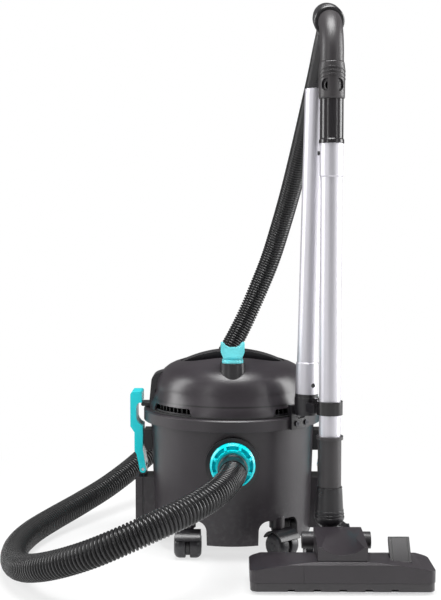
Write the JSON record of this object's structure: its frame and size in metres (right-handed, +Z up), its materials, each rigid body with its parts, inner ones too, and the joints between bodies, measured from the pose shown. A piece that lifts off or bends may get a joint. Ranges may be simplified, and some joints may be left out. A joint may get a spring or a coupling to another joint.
{
  "type": "tub vacuum cleaner",
  "caption": "Commercial tub vacuum cleaner: drum on castors, lift-off motor lid with side latches, ribbed hose, aluminium wand parked upright and a floor head.",
  "frame": {"origin": "on the floor under the middle of the machine's box, without the hose", "axes": "+X to the machine's right, +Y to the back, +Z up"},
  "size_m": [0.6352, 0.8236, 0.8624],
  "materials": {
    "tub_plastic": "satin",
    "lid_plastic": "satin",
    "black_plastic": "matte",
    "hose_plastic": "satin",
    "teal_plastic": "gloss",
    "switch_red": "gloss",
    "wheel_plastic": "satin",
    "tube_aluminium": "satin",
    "steel": "satin",
    "seal_rubber": "matte",
    "bag_paper": "matte",
    "collar_card": "matte",
    "filter_cloth": "matte",
    "motor_plastic": "matte",
    "winding_copper": "satin",
    "fan_aluminium": "satin",
    "brush_bristle": "matte"
  },
  "bodies": {
    "tub": {"tub_shell": "tub_plastic", "latch_pads": "black_plastic", "latch_pins": "steel", "inlet_flange": "black_plastic", "inlet_ring": "teal_plastic", "inlet_seal": "seal_rubber", "castor_sockets": "steel", "dust_bag": "bag_paper", "bag_collar": "collar_card", "parking_bracket": "black_plastic", "bracket_screws": "steel"},
    "lid": {"lid_shell": "lid_plastic", "carry_handle": "black_plastic", "cradle_post": "black_plastic", "cradle_fork": "teal_plastic", "lid_base": "black_plastic", "lid_gasket": "seal_rubber", "lid_screws": "steel", "motor_housing": "motor_plastic", "motor_stator": "winding_copper", "motor_seal": "seal_rubber", "filter_basket": "black_plastic", "cloth_filter": "filter_cloth", "exhaust_filter": "filter_cloth", "mains_inlet": "black_plastic", "switch_bezel": "black_plastic"},
    "rotor": {"motor_shaft": "steel", "fan_impeller": "fan_aluminium"},
    "power_switch": {"power_switch": "switch_red"},
    "latch_left": {"latch_left": "teal_plastic"},
    "latch_right": {"latch_right": "teal_plastic"},
    "castor_1": {"castor_1": "black_plastic"},
    "castor_wheels_1": {"castor_wheels_1": "wheel_plastic"},
    "castor_2": {"castor_2": "black_plastic"},
    "castor_wheels_2": {"castor_wheels_2": "wheel_plastic"},
    "castor_3": {"castor_3": "black_plastic"},
    "castor_wheels_3": {"castor_wheels_3": "wheel_plastic"},
    "castor_4": {"castor_4": "black_plastic"},
    "castor_wheels_4": {"castor_wheels_4": "wheel_plastic"},
    "castor_5": {"castor_5": "black_plastic"},
    "castor_wheels_5": {"castor_wheels_5": "wheel_plastic"},
    "inlet_cuff": {"inlet_cuff": "black_plastic"},
    "wand": {"wand_tube": "tube_aluminium", "neck_tube": "black_plastic", "grip_tube": "black_plastic", "wand_hanger": "black_plastic", "hose": "hose_plastic"},
    "wand_button": {"wand_button": "black_plastic"},
    "air_ring": {"air_ring": "black_plastic"},
    "hose_cuff": {"hose_cuff": "black_plastic"},
    "spare_tube": {"spare_tube": "tube_aluminium"},
    "neck": {"neck_collar": "black_plastic"},
    "head": {"head_body": "black_plastic", "head_cover": "lid_plastic", "neck_saddle": "lid_plastic", "sole_plate": "steel"},
    "pedal": {"head_pedal": "black_plastic"},
    "brushes": {"brush_strips": "brush_bristle"},
    "head_wheel_left": {"head_wheel_left": "wheel_plastic"},
    "head_wheel_right": {"head_wheel_right": "wheel_plastic"}
  },
  "joints": [
    {"name": "lid_lift", "type": "slide", "parent": "tub", "child": "lid", "axis": [0, 0, 1], "range_m": [0, 0.05]},
    {"name": "latch_left_open", "type": "hinge", "parent": "tub", "child": "latch_left", "pos_m": [-0.20476, 0.0705, 0.119], "axis": [0, -1, 0], "range_deg": [0, 90]},
    {"name": "latch_right_open", "type": "hinge", "parent": "tub", "child": "latch_right", "pos_m": [0.08724, 0.0705, 0.119], "axis": [0, 1, 0], "range_deg": [0, 90]},
    {"name": "switch_rock", "type": "hinge", "parent": "lid", "child": "power_switch", "pos_m": [-0.05876, 0.15421, 0.29555], "axis": [1, 0, 0], "range_deg": [0, 20]},
    {"name": "rotor_spin", "type": "hinge", "parent": "lid", "child": "rotor", "pos_m": [-0.05876, 0.0705, 0.24], "axis": [0, 0, 1], "continuous": true},
    {"name": "castor_1_swivel", "type": "hinge", "parent": "tub", "child": "castor_1", "pos_m": [0.0106, -0.02497, 0.052], "axis": [0, 0, 1], "continuous": true},
    {"name": "castor_1_roll", "type": "hinge", "parent": "castor_1", "child": "castor_wheels_1", "pos_m": [0.01831, -0.03416, 0.02], "axis": [0.766, 0.6428, 0], "continuous": true},
    {"name": "castor_2_swivel", "type": "hinge", "parent": "tub", "child": "castor_2", "pos_m": [0.05347, 0.10696, 0.052], "axis": [0, 0, 1], "continuous": true},
    {"name": "castor_2_roll", "type": "hinge", "parent": "castor_2", "child": "castor_wheels_2", "pos_m": [0.0484, 0.09609, 0.02], "axis": [0.9063, -0.4226, 0], "continuous": true},
    {"name": "castor_3_swivel", "type": "hinge", "parent": "tub", "child": "castor_3", "pos_m": [-0.05876, 0.1885, 0.052], "axis": [0, 0, 1], "continuous": true},
    {"name": "castor_3_roll", "type": "hinge", "parent": "castor_3", "child": "castor_wheels_3", "pos_m": [-0.05565, 0.17691, 0.02], "axis": [0.9659, 0.2588, 0], "continuous": true},
    {"name": "castor_4_swivel", "type": "hinge", "parent": "tub", "child": "castor_4", "pos_m": [-0.17098, 0.10696, 0.052], "axis": [0, 0, 1], "continuous": true},
    {"name": "castor_4_roll", "type": "hinge", "parent": "castor_4", "child": "castor_wheels_4", "pos_m": [-0.16498, 0.09657, 0.02], "axis": [0.866, 0.5, 0], "continuous": true},
    {"name": "castor_5_swivel", "type": "hinge", "parent": "tub", "child": "castor_5", "pos_m": [-0.12812, -0.02497, 0.052], "axis": [0, 0, 1], "continuous": true},
    {"name": "castor_5_roll", "type": "hinge", "parent": "castor_5", "child": "castor_wheels_5", "pos_m": [-0.12812, -0.03696, 0.02], "axis": [1, 0, 0], "continuous": true},
    {"name": "inlet_cuff_turn", "type": "hinge", "parent": "tub", "child": "inlet_cuff", "pos_m": [-0.05876, -0.09093, 0.152], "axis": [0, 1, 0], "continuous": true},
    {"name": "wand_lift", "type": "slide", "parent": "tub", "child": "wand", "axis": [0, 0, 1], "range_m": [0, 0.05]},
    {"name": "wand_button_press", "type": "slide", "parent": "wand", "child": "wand_button", "axis": [1, 0, 0], "range_m": [0, 0.0034], "stiffness_N_per_m": 300},
    {"name": "air_ring_turn", "type": "hinge", "parent": "wand", "child": "air_ring", "pos_m": [0.08526, -0.0995, 0.725], "axis": [0, 0, 1], "range_deg": [0, 50]},
    {"name": "hose_cuff_turn", "type": "hinge", "parent": "wand", "child": "hose_cuff", "pos_m": [0.08526, -0.0404, 0.82334], "axis": [0, 0.9511, 0.309], "continuous": true},
    {"name": "spare_tube_lift", "type": "slide", "parent": "tub", "child": "spare_tube", "axis": [0.0244, 0, 0.9997], "range_m": [0, 0.045]},
    {"name": "neck_turn", "type": "hinge", "parent": "wand", "child": "neck", "pos_m": [0.08526, -0.0995, 0.1], "axis": [0, 0, 1], "range_deg": [-15, 15]},
    {"name": "head_tilt", "type": "hinge", "parent": "neck", "child": "head", "pos_m": [0.09476, -0.1075, 0.048], "axis": [1, 0, 0], "range_deg": [0, 50]},
    {"name": "pedal_rock", "type": "hinge", "parent": "head", "child": "pedal", "pos_m": [0.17976, -0.1785, 0.03], "axis": [-1, 0, 0], "range_deg": [0, 9]},
    {"name": "brush_lift", "type": "slide", "parent": "head", "child": "brushes", "axis": [0, 0, 1], "range_m": [0, 0.0022]},
    {"name": "head_wheel_left_roll", "type": "hinge", "parent": "head", "child": "head_wheel_left", "pos_m": [0.05676, -0.0795, 0.0175], "axis": [1, 0, 0], "continuous": true},
    {"name": "head_wheel_right_roll", "type": "hinge", "parent": "head", "child": "head_wheel_right", "pos_m": [0.13276, -0.0795, 0.0175], "axis": [1, 0, 0], "continuous": true}
  ],
  "couplings": [
    {"joint": "latch_left_open", "follows": "lid_lift", "rad_per_m": 31.4},
    {"joint": "latch_right_open", "follows": "lid_lift", "rad_per_m": 31.4},
    {"joint": "brush_lift", "follows": "pedal_rock", "m_per_rad": 0.01273}
  ]
}
